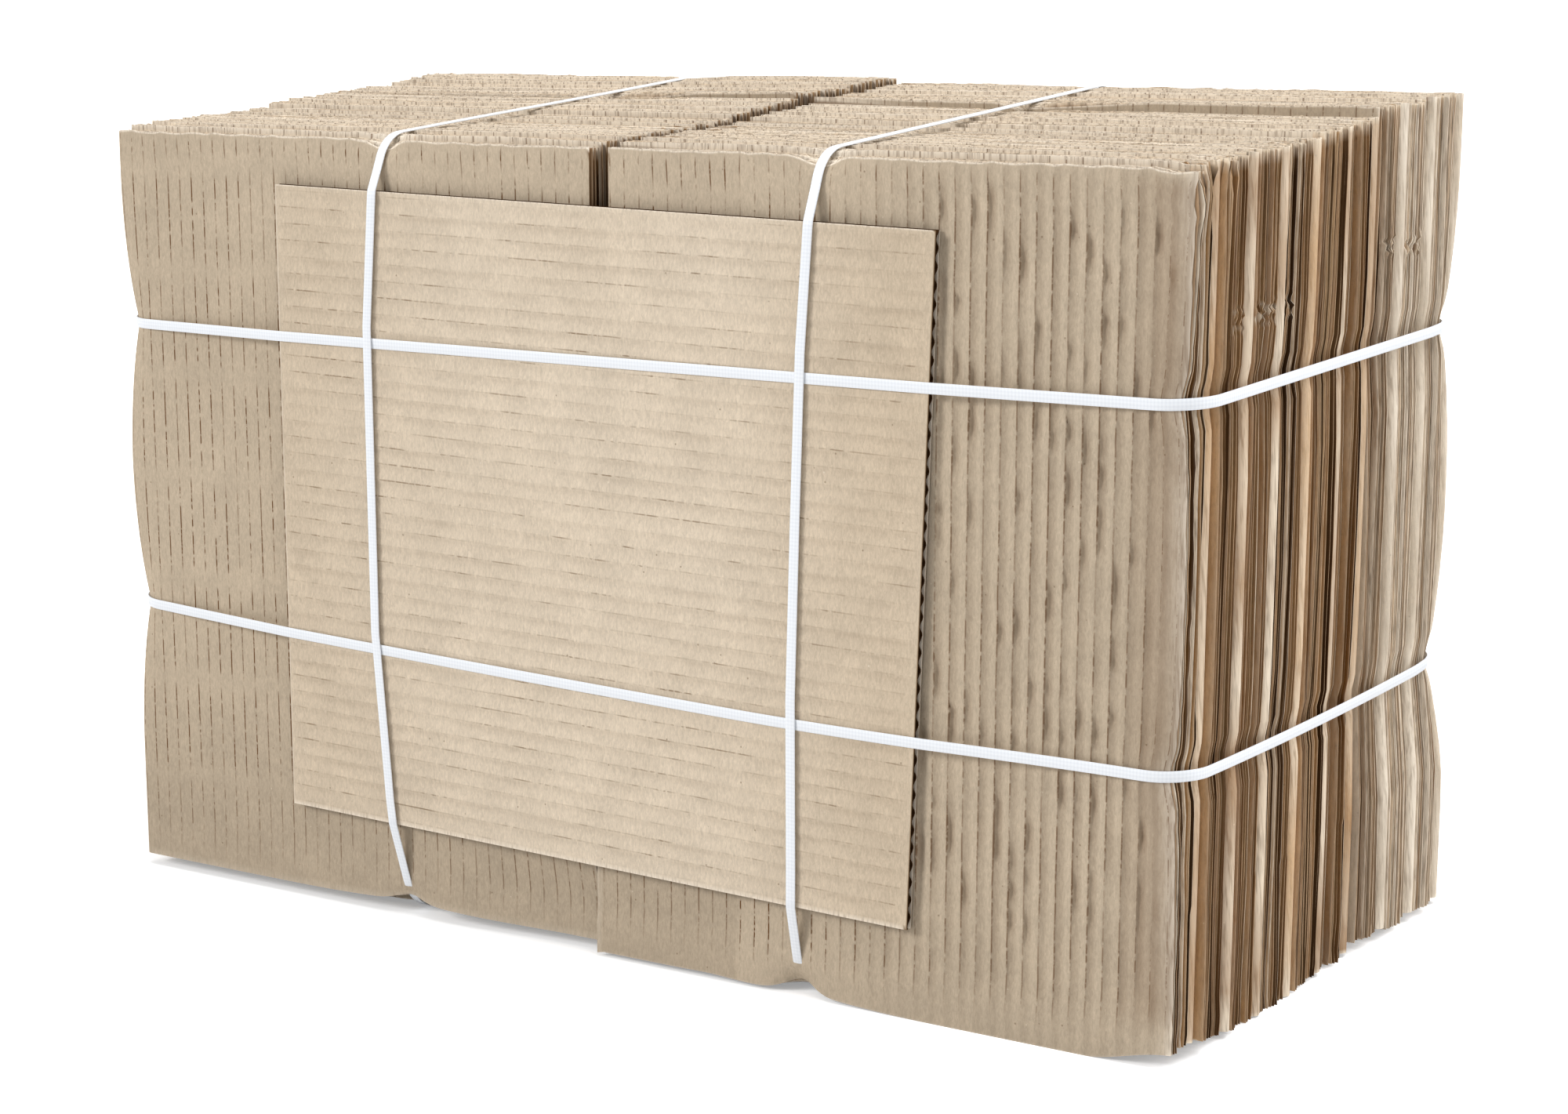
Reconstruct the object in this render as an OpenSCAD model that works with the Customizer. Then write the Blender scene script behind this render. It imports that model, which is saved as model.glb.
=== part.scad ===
// Bale of flattened corrugated boxes, tied both ways with four plastic straps.
// Each box is one blank of board folded in half, so it has two layers, a fold at one end
// and cut edges at the other. The boxes stand on edge, one behind the other, and the
// straps press the corners of the bale round.
// The front faces -Y, the floor is Z = 0 and the bale leans back. Lengths are in millimetres.

/* [Boxes] */
// Number of flattened boxes in the bale
box_count = 35; // [24:1:44]
// Width of a flattened box, from its fold to its cut edges
box_w = 614; // [540:1:680]
// Height of a flattened box, flaps included
box_h = 381; // [340:1:420]
// Depth of the strapped bale, which sets how thin its board is pressed
bale_d = 250; // [215:1:285]
// Gap between the two layers of a box
layer_gap = 0.2; // [0.1:0.05:0.4]
// Gap between one box and the next
box_gap = 0.1; // [0.05:0.05:0.3]
// Inside radius of the fold
fold_r = 0.6; // [0.3:0.1:1.2]
// Every so many boxes, one is turned with its fold to the right
turn_every = 4; // [2:1:8]

/* [Flaps] */
// Length of the flaps, which is the depth of the slots
flap_len = 68; // [50:1:90]
// Width of the slot between the top flaps
top_slot_w = 11; // [6:0.5:16]
// Width of the slit between the bottom flaps
bottom_slot_w = 2; // [1:0.5:6]
// Distance of the top slot to the right of the middle
top_slot_x = 1.5; // [-10:0.5:10]
// Distance of the bottom slit to the left of the middle
bottom_slot_x = 5; // [-10:0.5:10]
// How much shorter the bottom flap on the side of the fold is
short_flap = 6; // [1:0.5:12]

/* [Bale] */
// Backward lean of the boxes, in degrees
lean = 4.9; // [2:0.1:7]
// How far the back of the bale stands to the right of its front
skew = 1; // [0:0.5:8]
// How far the ends of the boxes scatter to either side
end_scatter = 1.5; // [0:0.1:2.5]
// How far single boxes stand up above the rest
lift_scatter = 1.2; // [0:0.1:2]
// Number of boxes at the back that stand tilted, right end up
tilted_count = 12; // [1:1:16]
// Tilt of the first of those boxes, in degrees, which eases off towards the back
tilt = 0.45; // [0:0.05:0.8]
// Number of boxes at the front and at the back whose corners the straps press round
soft_count = 3; // [3:1:7]
// Height above and below a strap over which a corner is pressed
press_span = 74; // [50:1:90]
// Share of the rounding that is left between the straps
press_rest = 0.05; // [0:0.05:0.5]
// How far the board is crushed on each side at an end that a strap bends
end_crush = 0.35; // [0.25:0.05:0.5]

/* [Front pad] */
// Width of the loose sheet under the straps at the front
pad_w = 377; // [300:1:440]
// Height of that sheet
pad_h = 309; // [260:1:330]
// Thickness of that sheet
pad_t = 3.8; // [3:0.1:5]
// Distance of its middle to the left of the middle of the bale
pad_x = 8; // [-30:1:30]
// Height of its middle above the lower edge of the first box
pad_z = 200; // [185:1:215]
// Turn of the sheet, right end down, in degrees
pad_turn = 1; // [0:0.1:2]
// Gap between the sheet and the first box
pad_gap = 0.1; // [0.05:0.05:0.3]
// Distance from one flute to the next
flute_pitch = 8; // [6:0.25:10]
// Thickness of the two facings of the sheet
liner_t = 0.4; // [0.3:0.05:0.6]
// Thickness of the fluted paper between them
medium_t = 0.4; // [0.3:0.05:0.6]

/* [Straps] */
// Width of a strap
strap_w = 5; // [4:0.5:8]
// Thickness of a strap
strap_t = 0.6; // [0.4:0.05:0.9]
// Clearance between a strap and what it ties
strap_clear = 0.2; // [0.1:0.05:0.4]
// Height of the lower strap on the boxes, at the middle of the bale
lower_strap_z = 129; // [90:1:150]
// Height of the upper strap on the boxes, at the middle of the bale
upper_strap_z = 281; // [230:1:300]
// Slope of the lower strap, right end down, in degrees
lower_strap_slope = 1.5; // [0:0.1:2]
// Rise of both level straps from the front to the back of the boxes, in degrees
strap_rise = 3.4; // [0:0.1:4]
// Distance of the left upright strap from the middle
left_strap_x = 136; // [100:1:180]
// Distance of the right upright strap from the middle
right_strap_x = 113; // [100:1:180]
// Radius that the upright straps press into the upper edges
edge_r = 16; // [8:1:24]
// Radius that they press into the lower edges
foot_r = 20; // [8:1:28]
// Length of the welded lap that closes a strap
weld_len = 30; // [20:1:45]
// Distance of the weld from the middle of the back
weld_shift = 40; // [30:1:60]
// Room beside an upright strap in its groove
groove_side = 0.5; // [0.2:0.1:1.5]
// Height of an upright strap above the floor
strap_foot = 0.4; // [0.3:0.1:1]

/* [Hidden] */
board_colour = [0.76, 0.69, 0.60];
pad_colour = [0.84, 0.77, 0.69];
strap_colour = [0.95, 0.95, 0.96];
round_fn = 48;
post_fn = 8;
post_r = 0.01;
scatter_seed = 11;
lift_seed = 5;

// Sizes of one box and of the bale
pitch = bale_d / box_count;
box_t = pitch - box_gap;
corner_r = soft_count * pitch - box_gap;
tilt_reach = box_h / 2 * sin(tilt);
reach_x = box_w / 2 + end_scatter + tilt_reach;
reach_y = bale_d / 2;
tilt_start = reach_y - tilted_count * pitch;
pad_front = reach_y + pad_gap + pad_t;
end_draw = rands(-1, 1, box_count, scatter_seed);
lift_draw = rands(-1, 1, box_count, lift_seed);

// The leaning bale is set back to stand over the origin
front_y = -(pad_front + 2 * strap_t + 2 * strap_clear) * cos(lean) + (pad_z - pad_h / 2) * sin(lean);
back_y = reach_y * cos(lean) + (box_h + floor_z(reach_y)) * sin(lean);
centre_y = -(front_y + back_y) / 2;

function box_name(k) = str(k < 9 ? "box_0" : "box_", k + 1);

// Place of box k: depth of its middle, end scatter, lift and tilt
function box_y(k) = (k + 0.5) * pitch - reach_y;
function skew_x(y) = skew / 2 * y / reach_y;
function box_scatter(k) = end_scatter * end_draw[k];
function box_shift(k) = box_scatter(k) + skew_x(box_y(k));
function box_lift(k) = max(0, lift_scatter * lift_draw[k]);
function tilt_at(y) = y < tilt_start - pitch / 4 ? 0 : tilt * (reach_y - y) / (reach_y - tilt_start);
function box_tilt(k) = tilt_at(box_y(k) - pitch / 2);
function floor_z(y) = y * tan(lean);
function box_foot(k) = floor_z(box_y(k) - box_t / 2) + box_lift(k);
function is_turned(k) = k % turn_every == turn_every - 2;
function is_soft(k) = k < soft_count || k >= box_count - soft_count;

// A point of box k, given from the middle of its lower edge, in the frame of the bale
function placed(k, p) =
    let (a = box_tilt(k), u = p.x + box_w / 2)
    [
        u * cos(a) - (p.z - box_h / 2) * sin(a) - box_w / 2 + box_shift(k),
        p.y + box_y(k),
        u * sin(a) + p.z * cos(a) + box_foot(k)
    ];

// Height of a level strap at a place on the bale
strap_level = [lower_strap_z, upper_strap_z];
strap_slope = [lower_strap_slope, 0];
function strap_z(s, x, y) = strap_level[s] - x * tan(strap_slope[s]) + y * tan(strap_rise);

// Share of the corner rounding at a height: one under a strap, easing off in a curve to either side
function beside_strap(s, p) = max(0, abs(p.z - strap_z(s, p.x, p.y)) - strap_w / 2);
function press_at(s, p) = pow(max(0, 1 - beside_strap(s, p) / press_span), 2);
function press(p) = press_rest + (1 - press_rest) * max(press_at(0, p), press_at(1, p));

// A square corner of the skewed bale pressed to a round one, so that layers stay in order
function squeezed(p) =
    let (
        w = press(p),
        a = max(0, (abs(p.x - skew_x(p.y)) - reach_x + corner_r) / corner_r),
        b = max(0, (abs(p.y) - reach_y + corner_r) / corner_r)
    )
    [
        p.x - sign(p.x) * corner_r * a * (1 - sqrt(1 - w * b * b / 2)),
        p.y - sign(p.y) * corner_r * b * (1 - sqrt(1 - w * a * a / 2)),
        p.z
    ];

// Stations across one layer: its ends, and between them lines that run on from box to box
fold_x = -(box_w - box_t) / 2;
fold_angles = [225, 180, 135];
bend_steps = 3;
bend_in = box_t / 2 + 2 * end_scatter + tilt_reach + 1;
function bend_x(i) = reach_x - bend_in - (corner_r - bend_in) * (i - 1) / (bend_steps - 1);
function crushed(i) = box_t / 2 - end_crush * (1 - i / bend_steps);
function layer_line(scatter) = concat(
    [[box_w / 2, crushed(0)]],
    [for (i = [1:bend_steps]) [bend_x(i) - scatter, crushed(i)]],
    [for (i = [bend_steps:-1:1]) [-bend_x(i) - scatter, crushed(i)]],
    [[fold_x, crushed(0)]]
);

// Outer and inner points of the folded sheet, from the front cut edge round the fold to the back one
function sheet_line(scatter) =
    let (layer = layer_line(scatter), gap = layer_gap / 2)
    concat(
        [for (q = layer) [[q.x, -q.y], [q.x, -gap]]],
        [for (a = fold_angles) [for (r = [crushed(0), fold_r]) [fold_x + r * cos(a), r * sin(a)]]],
        [for (i = [len(layer) - 1:-1:0]) let (q = layer[i]) [[q.x, q.y], [q.x, gap]]]
    );

// Heights of the rings of a pressed box, set out from the edges of the straps
function ring_heights(k, x) =
    let (
        half = strap_w / 2,
        foot = placed(k, [x, 0, 0]).z,
        lower = strap_z(0, x, box_y(k)) - foot,
        upper = strap_z(1, x, box_y(k)) - foot
    )
    concat(
        [for (i = [0:3]) (lower - half) * i / 3],
        [for (i = [0:4]) lower + half + (upper - lower - strap_w) * i / 4],
        [for (i = [0:3]) upper + half + (box_h - upper - half) * i / 3]
    );

// Four corners of a patch as two triangles
function patch(a, b, c, d) = [[a, b, c], [a, c, d]];

// One folded sheet whose corners follow the bale
module pressed_sheet(k) {
    turn = is_turned(k) ? -1 : 1;
    line = sheet_line(turn * box_scatter(k));
    n = len(line);
    columns = [for (station = line) [for (q = station)
        [for (h = ring_heights(k, turn * q.x)) squeezed(placed(k, [turn * q.x, turn * q.y, h]))]]];
    m = len(columns[0][0]);
    points = [for (column = columns) for (side = column) for (p = side) p];
    function at(i, j, side) = (i * 2 + side) * m + j;
    // Facing layers split their patches along the same diagonal, so that they nest
    function leads(i) = (i < n / 2) != is_turned(k);
    walls = [for (i = [0:n - 2]) for (j = [0:m - 2]) each leads(i)
        ? concat(
            patch(at(i, j, 0), at(i + 1, j, 0), at(i + 1, j + 1, 0), at(i, j + 1, 0)),
            patch(at(i, j, 1), at(i, j + 1, 1), at(i + 1, j + 1, 1), at(i + 1, j, 1))
        )
        : concat(
            patch(at(i + 1, j, 0), at(i + 1, j + 1, 0), at(i, j + 1, 0), at(i, j, 0)),
            patch(at(i, j + 1, 1), at(i + 1, j + 1, 1), at(i + 1, j, 1), at(i, j, 1))
        )
    ];
    edges = [for (i = [0:n - 2]) each concat(
        patch(at(i, m - 1, 0), at(i + 1, m - 1, 0), at(i + 1, m - 1, 1), at(i, m - 1, 1)),
        patch(at(i, 0, 0), at(i, 0, 1), at(i + 1, 0, 1), at(i + 1, 0, 0))
    )];
    ends = [for (j = [0:m - 2]) each concat(
        patch(at(0, j, 0), at(0, j + 1, 0), at(0, j + 1, 1), at(0, j, 1)),
        patch(at(n - 1, j, 1), at(n - 1, j + 1, 1), at(n - 1, j + 1, 0), at(n - 1, j, 0))
    )];
    polyhedron(points, concat(walls, edges, ends), convexity = 8);
}

// Section of a folded sheet that no strap bends
module sheet_section() {
    difference() {
        union() {
            translate([fold_x, -box_t / 2]) square([box_w / 2 - fold_x, box_t]);
            translate([fold_x, 0]) circle(d = box_t, $fn = round_fn);
        }
        translate([fold_x, -layer_gap / 2]) square([box_w, layer_gap]);
        translate([fold_x, 0]) circle(r = fold_r, $fn = round_fn);
    }
}

module straight_sheet(k) {
    translate([box_h / 2 * sin(box_tilt(k)) + box_shift(k), box_y(k), box_foot(k)])
        translate([-box_w / 2, 0, 0])
            rotate([0, -box_tilt(k), 0])
                translate([box_w / 2, 0, 0])
                    rotate(is_turned(k) ? 180 : 0)
                        linear_extrude(box_h) sheet_section();
}

// What is cut from box k: the slots between its flaps, and the foot of its shorter flap
module flap_cuts(k) {
    foot = placed(k, [0, 0, 0]);
    cut_d = box_t + 2 * corner_r;
    short_x = is_turned(k) ? 0 : -box_w;
    translate([foot.x, foot.y - cut_d / 2, foot.z]) {
        translate([top_slot_x - top_slot_w / 2, 0, box_h - flap_len])
            cube([top_slot_w, cut_d, 2 * flap_len]);
        translate([-bottom_slot_x - bottom_slot_w / 2, 0, -flap_len])
            cube([bottom_slot_w, cut_d, 2 * flap_len]);
        translate([short_x - bottom_slot_x, 0, -short_flap])
            cube([box_w, cut_d, 2 * short_flap]);
    }
}

// The bale as it stands: leaning back and set over the origin
module standing() {
    translate([0, centre_y, 0]) rotate([-lean, 0, 0]) children();
}

// Lower edges are worn flat on the floor
module on_floor() {
    intersection() {
        standing() children();
        translate([-box_w, -box_w, 0]) cube(2 * box_w);
    }
}

module flat_box(k) {
    color(board_colour) on_floor() difference() {
        if (is_soft(k)) pressed_sheet(k);
        else straight_sheet(k);
        flap_cuts(k);
        upright_groove(-left_strap_x);
        upright_groove(right_strap_x);
    }
}

// Hollows of one flute, first behind the front facing and then before the back one
module flute_hollows() {
    wave = (pad_t - 2 * liner_t - medium_t) / 2;
    angles = [-135:45:135];
    front = [for (a = angles) [pad_t / 2 + wave * cos(a) - medium_t * 0.6, flute_pitch * a / 360]];
    hollow = concat([[liner_t, -flute_pitch * 0.42]], front, [[liner_t, flute_pitch * 0.42]]);
    translate([0, flute_pitch * 0.5]) polygon(hollow);
    translate([pad_t, flute_pitch]) mirror([1, 0]) polygon(hollow);
}

// Loose sheet of single-wall board with its flutes lying level
module front_pad() {
    flutes = floor(pad_h / flute_pitch - 0.5);
    margin = (pad_h - (flutes + 0.5) * flute_pitch) / 2;
    color(pad_colour) standing()
        translate([-pad_x, -pad_front, pad_z + floor_z(-reach_y)]) rotate([0, pad_turn, 0])
            rotate([90, 0, 90]) linear_extrude(pad_w, center = true) difference() {
                translate([0, -pad_h / 2]) square([pad_t, pad_h]);
                for (i = [0:flutes - 1])
                    translate([0, margin - pad_h / 2 + i * flute_pitch]) flute_hollows();
            }
}

// Outline that a level strap is drawn tight around, a given distance outside
module level_outline(out) {
    for_y = 1 / cos(strap_rise);
    hull() {
        for (sx = [-1, 1]) for (sy = [-1, 1])
            translate([sx * (reach_x - corner_r) + sy * skew / 2, sy * (reach_y * for_y - corner_r)])
                circle(corner_r + out, $fn = round_fn);
        for (sx = [-1, 1])
            translate([sx * pad_w / 2 - pad_x, -pad_front * for_y]) circle(out, $fn = post_fn);
    }
}

module level_strap(s) {
    weld_y = reach_y / cos(strap_rise) + strap_clear + strap_t / 2;
    color(strap_colour) standing()
        translate([0, 0, strap_level[s]]) rotate([strap_rise, strap_slope[s], 0])
            linear_extrude(strap_w, center = true) {
                difference() {
                    level_outline(strap_clear + strap_t);
                    level_outline(strap_clear);
                }
                translate([weld_shift - weld_len / 2, weld_y]) square([weld_len, strap_t]);
            }
}

// Height of the tops of the boxes at a place on the bale
function top_z(x, y) =
    floor_z(y) + box_h + lift_scatter + (x + box_w / 2) * sin(tilt_at(y));

// Height of the upper or lower edge of the front pad
function pad_edge_z(x, side) =
    pad_z + floor_z(-reach_y) + side * pad_h / 2 * cos(pad_turn) - (x + pad_x) * sin(pad_turn);

// Outline that an upright strap is drawn tight around, a given distance outside
module upright_outline(x, out) {
    over = strap_t + 2 * strap_clear;
    foot = (foot_r + strap_clear + strap_t + strap_foot) / cos(lean);
    hull() {
        for (y = [-reach_y + foot_r, reach_y - foot_r])
            translate([y, floor_z(y) + foot]) circle(foot_r + out, $fn = round_fn);
        for (y = [-reach_y + edge_r, reach_y - edge_r])
            translate([y, top_z(x, y) - edge_r]) circle(edge_r + out, $fn = round_fn);
        translate([tilt_start, top_z(x, tilt_start)]) circle(max(out, post_r), $fn = post_fn);
        for (side = [-1, 1])
            translate([-pad_front - over, pad_edge_z(x, side)]) circle(max(out, post_r), $fn = post_fn);
        for (s = [0, 1])
            translate([reach_y + over, strap_z(s, x, reach_y)]) circle(max(out, post_r), $fn = post_fn);
    }
}

// Groove that an upright strap presses into the edges of the boxes
module upright_groove(x) {
    translate([x, 0, 0]) rotate([90, 0, 90])
        linear_extrude(strap_w + 2 * groove_side, center = true) difference() {
            translate([0, box_h / 2]) square(2 * box_h, center = true);
            upright_outline(x, 0);
        }
}

module upright_strap(x) {
    color(strap_colour) standing()
        translate([x, 0, 0]) rotate([90, 0, 90]) linear_extrude(strap_w, center = true)
            difference() {
                upright_outline(x, strap_clear + strap_t);
                upright_outline(x, strap_clear);
            }
}

for (k = [0:box_count - 1])
    flat_box(k);
front_pad();
level_strap(0);  // lower_strap
level_strap(1);  // upper_strap
upright_strap(-left_strap_x);  // left_strap
upright_strap(right_strap_x);  // right_strap
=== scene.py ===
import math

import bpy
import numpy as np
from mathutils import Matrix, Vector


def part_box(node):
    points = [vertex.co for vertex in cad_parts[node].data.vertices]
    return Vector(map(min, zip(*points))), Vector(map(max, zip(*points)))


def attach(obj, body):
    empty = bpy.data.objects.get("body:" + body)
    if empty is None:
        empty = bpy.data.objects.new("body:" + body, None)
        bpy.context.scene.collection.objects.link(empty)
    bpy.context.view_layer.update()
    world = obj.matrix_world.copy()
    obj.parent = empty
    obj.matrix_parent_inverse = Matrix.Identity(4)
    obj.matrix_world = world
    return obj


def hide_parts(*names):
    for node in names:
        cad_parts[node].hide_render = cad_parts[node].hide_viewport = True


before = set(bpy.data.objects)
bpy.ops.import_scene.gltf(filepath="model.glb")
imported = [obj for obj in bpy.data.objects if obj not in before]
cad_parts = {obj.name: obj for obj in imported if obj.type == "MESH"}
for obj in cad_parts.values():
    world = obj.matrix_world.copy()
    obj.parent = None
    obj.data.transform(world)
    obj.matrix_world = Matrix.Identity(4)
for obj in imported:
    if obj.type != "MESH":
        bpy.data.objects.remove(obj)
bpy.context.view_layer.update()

# A bale of flattened corrugated boxes, strapped both ways over a loose sheet of board.
# Every box is built as the real one is: two facings and a fluted paper between them, one
# blank folded in half. Sheets are laid out flat in millimetres in the frame of their own
# box, then worn, set in the bale, pressed by the straps and leaned back, as the solids are.

scene = bpy.context.scene

# Sizes of the bale, in millimetres and degrees, the same as those of the solids
MM = 0.001
BOX_COUNT, SOFT_COUNT, TILTED_COUNT, TURN_EVERY = 35, 3, 12, 4
BOX_W, BOX_H, BALE_D, LAYER_GAP, BOX_GAP, FOLD_R = 614.0, 381.0, 250.0, 0.2, 0.1, 0.6
FLAP_LEN, SHORT_FLAP, TOP_SLOT_W, BOTTOM_SLOT_W = 68.0, 6.0, 11.0, 2.0
TOP_SLOT_X, BOTTOM_SLOT_X = 1.5, -5.0
SKEW, END_SCATTER, LIFT_SCATTER, PRESS_SPAN, PRESS_REST = 1.0, 1.5, 1.2, 74.0, 0.05
LEAN, TILT = math.radians(4.9), math.radians(0.45)
PAD_W, PAD_H, PAD_T, PAD_X, PAD_Z, PAD_GAP = 377.0, 309.0, 3.8, 8.0, 200.0, 0.1
PAD_TURN = math.radians(1.0)
FLUTE = 8.0
STRAP_W, STRAP_T, STRAP_CLEAR, STRAP_FOOT = 5.0, 0.6, 0.2, 0.4
LEVEL_Z, LEVEL_SLOPE = (129.0, 281.0), (math.radians(1.5), 0.0)
LEVEL_RISE = math.radians(3.4)
UPRIGHT_X = (-136.0, 113.0)
EDGE_R, FOOT_R, WELD_LEN, WELD_SHIFT = 16.0, 20.0, 30.0, 40.0

# Wear that only this model shows. The upright straps wander: on the front by height, and behind
# that towards the top
UPRIGHT_WANDER = (((6, 49, 132, 281, 356, 386), (11.0, 5.5, -1.5, -2.0, 4.0, 5.5)),
                  ((6, 49, 128, 206, 285, 356, 386), (-2.0, -2.0, -2.6, -0.5, 2.0, 7.0, 8.5)))
REAR_WANDER = 10.0
# The level straps bite into the cut end, and the lower one rides up there
BITE, RIDE = 1.8, 3.0
# Short torn rows across the cut end: first box, last box and height
TORN_ROWS = ((5, 11, 312.0), (24, 30, 318.0))
# Front boxes with a crumpled upper corner
CRUMPLED_COUNT = 4
# The bale is a little wider at the top than at the foot
FOOT_SPREAD, HEAD_SPREAD = 0.998, 1.007
# Groups of boxes that were knocked level together: first box and height above the floor
GROUPS = ((0, 0.0), (1, 1.2), (8, -0.3), (15, 1.4), (23, 0.2), (30, 2.0))

# Papers that make up the board
FACING, LINING, MEDIUM = 0.45, 0.4, 0.3

END_X = BOX_W / 2
BOX_PITCH = BALE_D / BOX_COUNT
BOX_T = BOX_PITCH - BOX_GAP
BOARD_T = (BOX_T - LAYER_GAP) / 2
REACH_Y = BALE_D / 2
CORNER_R = SOFT_COUNT * BOX_PITCH - BOX_GAP
REACH_X = END_X + END_SCATTER + BOX_H / 2 * math.sin(TILT)
TILT_START = REACH_Y - TILTED_COUNT * BOX_PITCH
PAD_FRONT = REACH_Y + PAD_GAP + PAD_T
FOLD_X = -(BOX_W - BOX_T) / 2
FRONT_Y = (-(PAD_FRONT + 2 * STRAP_T + 2 * STRAP_CLEAR) * math.cos(LEAN)
           + (PAD_Z - PAD_H / 2) * math.sin(LEAN))
BACK_Y = REACH_Y * math.cos(LEAN) + (BOX_H + REACH_Y * math.tan(LEAN)) * math.sin(LEAN)
CENTRE_Y = -(FRONT_Y + BACK_Y) / 2


def fade(v):
    """Ease from 0 to 1."""
    v = np.clip(v, 0.0, 1.0)
    return v * v * (3 - 2 * v)


def ripple(u, v, seed):
    """Smooth random field between -1 and 1, about one bump to a unit."""
    m, n = 97, 89
    field = np.random.default_rng(seed).uniform(-1, 1, (m, n))
    u, v = np.broadcast_arrays(np.asarray(u, float), np.asarray(v, float))
    i, j = np.floor(u).astype(int), np.floor(v).astype(int)
    a, b = fade(u - i), fade(v - j)
    near = field[i % m, j % n] * (1 - a) + field[(i + 1) % m, j % n] * a
    far = field[i % m, (j + 1) % n] * (1 - a) + field[(i + 1) % m, (j + 1) % n] * a
    return near * (1 - b) + far * b


def close_to(gap, reach):
    """1 at an edge, and less with the gap to it."""
    return np.exp(-np.maximum(gap, 0) / reach)


# Place of each box in the bale
def box_name(k):
    return f"box_{k + 1:02d}"


def turned(k):
    return k % TURN_EVERY == TURN_EVERY - 2


def way(k):
    """Which way the cut end of a box faces along x."""
    return -1 if turned(k) else 1


def box_y(k):
    return (k + 0.5) * BOX_PITCH - REACH_Y


def tilt_at(y):
    """Tilt of the boxes at a depth: the rear group stands tilted, less so towards the back."""
    eased = np.maximum(0.0, TILT * (REACH_Y - y) / (REACH_Y - TILT_START))
    return np.where(y < TILT_START - BOX_PITCH / 4, 0.0, eased)


def box_tilt(k):
    return float(tilt_at(box_y(k) - BOX_PITCH / 2))


def skew_x(y):
    return SKEW / 2 * y / REACH_Y


def wander(i, y, z):
    """How far upright strap i lies from its straight line: on the front and over the top."""
    back = fade((y + 100) / 180)
    return np.interp(z, *UPRIGHT_WANDER[i]) * (1 - back) + REAR_WANDER * fade((z - 200) / 150) * back


def floor_z(y):
    return y * math.tan(LEAN)


def scatter(k):
    """End shift and lift of a box, read from its solid."""
    low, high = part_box(box_name(k))
    a = box_tilt(k)
    lift = high.z / MM / math.cos(LEAN) - BOX_W * math.sin(a) - BOX_H * math.cos(a)
    return (low.x + high.x) / 2 / MM, max(0.0, lift)


SCATTER = [scatter(k) for k in range(BOX_COUNT)]


def rear_share(k):
    """How far a box belongs to the rear ones, whose ends are paler and more even."""
    return float(fade((box_y(k) - 25) / 50))


def torn_row(k, z):
    """Where the cut end of some boxes is torn in a short row."""
    return sum(np.exp(-((z - row) / 5) ** 4) * (first <= k <= last) for first, last, row in TORN_ROWS)


def worn(k, p):
    """Wear of a box in its own frame: a crushed, frayed and torn cut end, an uneven upper edge, and
    a crumpled upper corner on the front boxes."""
    x, y, z = p.T.copy()
    layer = (k * BOX_PITCH + y) / BOARD_T
    board = 2 * k + (y > 0) + 0.5
    middle = np.sign(y) * (BOX_T + LAYER_GAP) / 4
    end = close_to(END_X - x, 6)
    crush = 0.3 * (1 + ripple(z / 55, board, 21))
    y = middle + (y - middle) * (1 - crush * end)
    y += end * 0.7 * ripple(z / 70, board, 22)
    fray = 0.4 * ripple(z / 7, layer, 23) + 0.9 * ripple(z / 90, layer, 24) + 1.3 * ripple(0, board, 28)
    x += end * (fray - 0.8) * (1 - 0.45 * rear_share(k))
    x += end * torn_row(k, z) * 1.5 * ripple(z / 1.7, layer * 1.3, 29)
    flare = fade((x - END_X + 26) / 22) * fade((z - BOX_H + 34) / 28) * (k < CRUMPLED_COUNT)
    x += flare * 2.0 * ripple(z / 9, layer * 1.7, 81)
    y += flare * 0.9 * ripple(z / 11, layer * 1.3, 82)
    z -= flare * 1.4 * (1 + ripple(x / 8, layer, 83))
    top = close_to(BOX_H - z, 6)
    y += top * 0.55 * ripple(x / 13, layer, 25)
    z += top * (0.5 * ripple(x / 5, layer, 26) + 0.5 * ripple(x / 45, board, 27) - 0.3)
    return np.stack([x, y, z], 1)


def placed(k, p):
    """A point of box k, from the middle of its lower edge, in the frame of the bale."""
    turn = way(k)
    a = box_tilt(k)
    shift, lift = SCATTER[k]
    lift += [step for first, step in GROUPS if first <= k][-1]
    u, h = turn * p[:, 0] + END_X, p[:, 2]
    foot = floor_z(box_y(k) - BOX_T / 2) + lift
    return np.stack([
        u * math.cos(a) - (h - BOX_H / 2) * math.sin(a) - END_X + shift,
        turn * p[:, 1] + box_y(k),
        u * math.sin(a) + h * math.cos(a) + foot], 1)


def strap_lift(slope, x, y):
    """How far the sloping level strap rides up the right end, least in the middle of it."""
    return RIDE * (slope > 0) * fade((x - 80) / 200) * (1 - 0.55 * np.clip(1 - (y / 115) ** 2, 0, 1))


def strap_z(level, slope, x, y):
    """Height of a level strap on the bale."""
    return level - x * math.tan(slope) + y * math.tan(LEVEL_RISE) + strap_lift(slope, x, y)


def end_share(x):
    """How far a point belongs to the cut end that the level straps bite into."""
    return fade((x - 270) / 35)


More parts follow.
